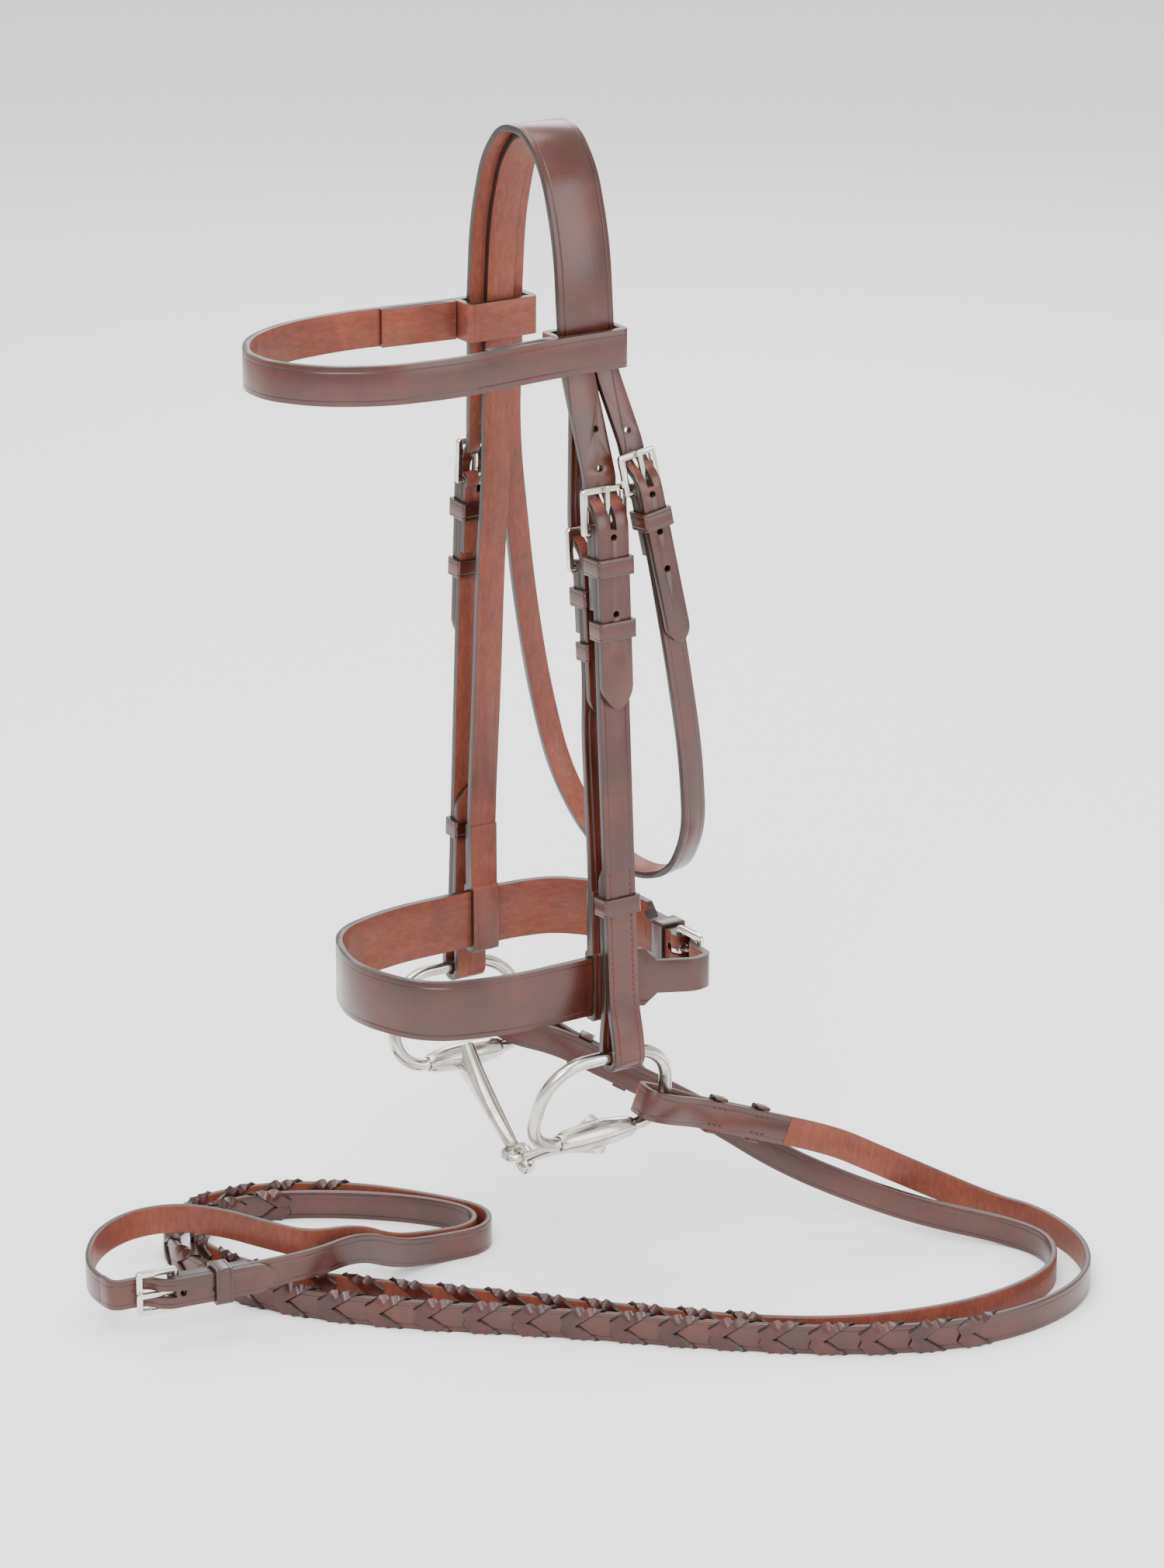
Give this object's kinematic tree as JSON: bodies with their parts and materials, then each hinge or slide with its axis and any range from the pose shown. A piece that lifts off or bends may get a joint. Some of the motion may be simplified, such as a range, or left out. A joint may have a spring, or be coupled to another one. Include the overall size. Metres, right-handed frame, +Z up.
{
  "type": "snaffle bridle",
  "caption": "Leather snaffle bridle with crown, browband, buckled cheeks, throatlash, plain noseband, jointed ring bit and laced reins resting on the floor below.",
  "frame": {"origin": "underside of the crown straps on the middle plane, where the bridle rests on the poll", "axes": "+Z up along the hanging cheeks, +X towards the near (buckled) side, +Y towards the back of the head; the browband and nose are at -Y"},
  "size_m": [0.3644, 0.5001, 0.623],
  "materials": {
    "strap_leather": "mahogany bridle leather, waxed grain side, darker burnished edges",
    "rein_leather": "mahogany rein leather, smooth waxed grain",
    "lace_leather": "dark red-brown lace leather",
    "nickel_plate": "polished nickel plate",
    "polished_steel": "polished stainless steel with light satin wear",
    "hook_brass": "polished pale brass"
  },
  "bodies": {
    "bridle": {"headpiece": "strap_leather", "throatlash": "strap_leather", "browband": "strap_leather", "noseband_headstrap": "strap_leather", "noseband_headstrap_cheek": "strap_leather", "noseband": "strap_leather", "near_cheekpiece": "strap_leather", "far_cheekpiece": "strap_leather", "near_cheek_keeper": "strap_leather", "far_cheek_keeper": "strap_leather", "near_cheek_tab_keeper": "strap_leather", "far_cheek_tab_keeper": "strap_leather", "throatlash_keeper": "strap_leather", "headstrap_keeper": "strap_leather", "noseband_keeper": "strap_leather", "near_rein_end": "strap_leather", "far_rein_end": "strap_leather", "near_rein_end_keeper": "strap_leather", "far_rein_end_keeper": "strap_leather", "near_rein_end_runner": "strap_leather", "far_rein_end_runner": "strap_leather", "rein_chape": "strap_leather", "rein_billet": "strap_leather", "rein_keeper": "strap_leather", "near_rein": "rein_leather", "far_rein": "rein_leather", "near_rein_laces": "lace_leather", "far_rein_laces": "lace_leather", "near_cheek_buckle": "nickel_plate", "far_cheek_buckle": "nickel_plate", "throatlash_buckle": "nickel_plate", "headstrap_buckle": "nickel_plate", "noseband_buckle": "nickel_plate", "rein_buckle": "nickel_plate", "near_cheek_hook_stud": "hook_brass", "far_cheek_hook_stud": "hook_brass", "near_rein_hook_stud": "hook_brass", "far_rein_hook_stud": "hook_brass"},
    "near_ring": {"near_bit_ring": "polished_steel"},
    "far_ring": {"far_bit_ring": "polished_steel"},
    "near_arm": {"near_mouthpiece_arm": "polished_steel"},
    "far_arm": {"far_mouthpiece_arm": "polished_steel"},
    "near_cheek_tongue": {"near_cheek_tongue": "nickel_plate"},
    "far_cheek_tongue": {"far_cheek_tongue": "nickel_plate"},
    "throatlash_tongue": {"throatlash_tongue": "nickel_plate"},
    "headstrap_tongue": {"headstrap_tongue": "nickel_plate"},
    "noseband_tongue": {"noseband_tongue": "nickel_plate"},
    "rein_tongue": {"rein_tongue": "nickel_plate"},
    "near_cheek_runner": {"near_cheek_runner": "strap_leather"},
    "far_cheek_runner": {"far_cheek_runner": "strap_leather"},
    "headstrap_runner": {"headstrap_runner": "strap_leather"}
  },
  "joints": [
    {"name": "near_ring_swing", "type": "hinge", "parent": "bridle", "child": "near_ring", "pos_m": [0.0787, 0, -0.47144], "axis": [0, 1, 0], "range_deg": [-2, 2]},
    {"name": "far_ring_swing", "type": "hinge", "parent": "bridle", "child": "far_ring", "pos_m": [-0.0787, 0, -0.47144], "axis": [0, -1, 0], "range_deg": [-2.1, 2.1]},
    {"name": "near_arm_turn", "type": "hinge", "parent": "near_ring", "child": "near_arm", "pos_m": [0.06593, -0.0085, -0.51978], "axis": [0, 1, 0], "range_deg": [-5, 5]},
    {"name": "far_arm_turn", "type": "hinge", "parent": "far_ring", "child": "far_arm", "pos_m": [-0.06593, -0.0085, -0.51978], "axis": [0, -1, 0], "range_deg": [-5, 5]},
    {"name": "near_cheek_tongue_lift", "type": "hinge", "parent": "bridle", "child": "near_cheek_tongue", "pos_m": [0.061, 0, -0.192], "axis": [0, 1, 0], "range_deg": [0, 8]},
    {"name": "far_cheek_tongue_lift", "type": "hinge", "parent": "bridle", "child": "far_cheek_tongue", "pos_m": [-0.061, 0, -0.192], "axis": [0, -1, 0], "range_deg": [0, 8]},
    {"name": "throatlash_tongue_lift", "type": "hinge", "parent": "bridle", "child": "throatlash_tongue", "pos_m": [0.0645, 0.02093, -0.17201], "axis": [0, 0.9858, 0.1676], "range_deg": [0, 8]},
    {"name": "headstrap_tongue_lift", "type": "hinge", "parent": "bridle", "child": "headstrap_tongue", "pos_m": [0.046, 0, -0.214], "axis": [0, 1, 0], "range_deg": [0, 8]},
    {"name": "noseband_tongue_lift", "type": "hinge", "parent": "bridle", "child": "noseband_tongue", "pos_m": [0.04, 0.062, -0.438], "axis": [0, 0, 1], "range_deg": [0, 8]},
    {"name": "rein_tongue_lift", "type": "hinge", "parent": "bridle", "child": "rein_tongue", "pos_m": [-0.007, -0.222, -0.583], "axis": [0, 0, 1], "range_deg": [0, 8]},
    {"name": "near_cheek_runner_slide", "type": "slide", "parent": "bridle", "child": "near_cheek_runner", "axis": [0.0599, 0, -0.9982], "range_m": [-0.003, 0.014]},
    {"name": "far_cheek_runner_slide", "type": "slide", "parent": "bridle", "child": "far_cheek_runner", "axis": [-0.0599, 0, -0.9982], "range_m": [-0.003, 0.014]},
    {"name": "headstrap_runner_slide", "type": "slide", "parent": "bridle", "child": "headstrap_runner", "axis": [0.0847, 0, -0.9964], "range_m": [-0.003, 0.01]}
  ],
  "couplings": [
    {"joint": "far_ring_swing", "follows": "near_ring_swing", "ratio": 1},
    {"joint": "near_arm_turn", "follows": "near_ring_swing", "ratio": -2.3812},
    {"joint": "far_arm_turn", "follows": "near_ring_swing", "ratio": -2.3812}
  ]
}
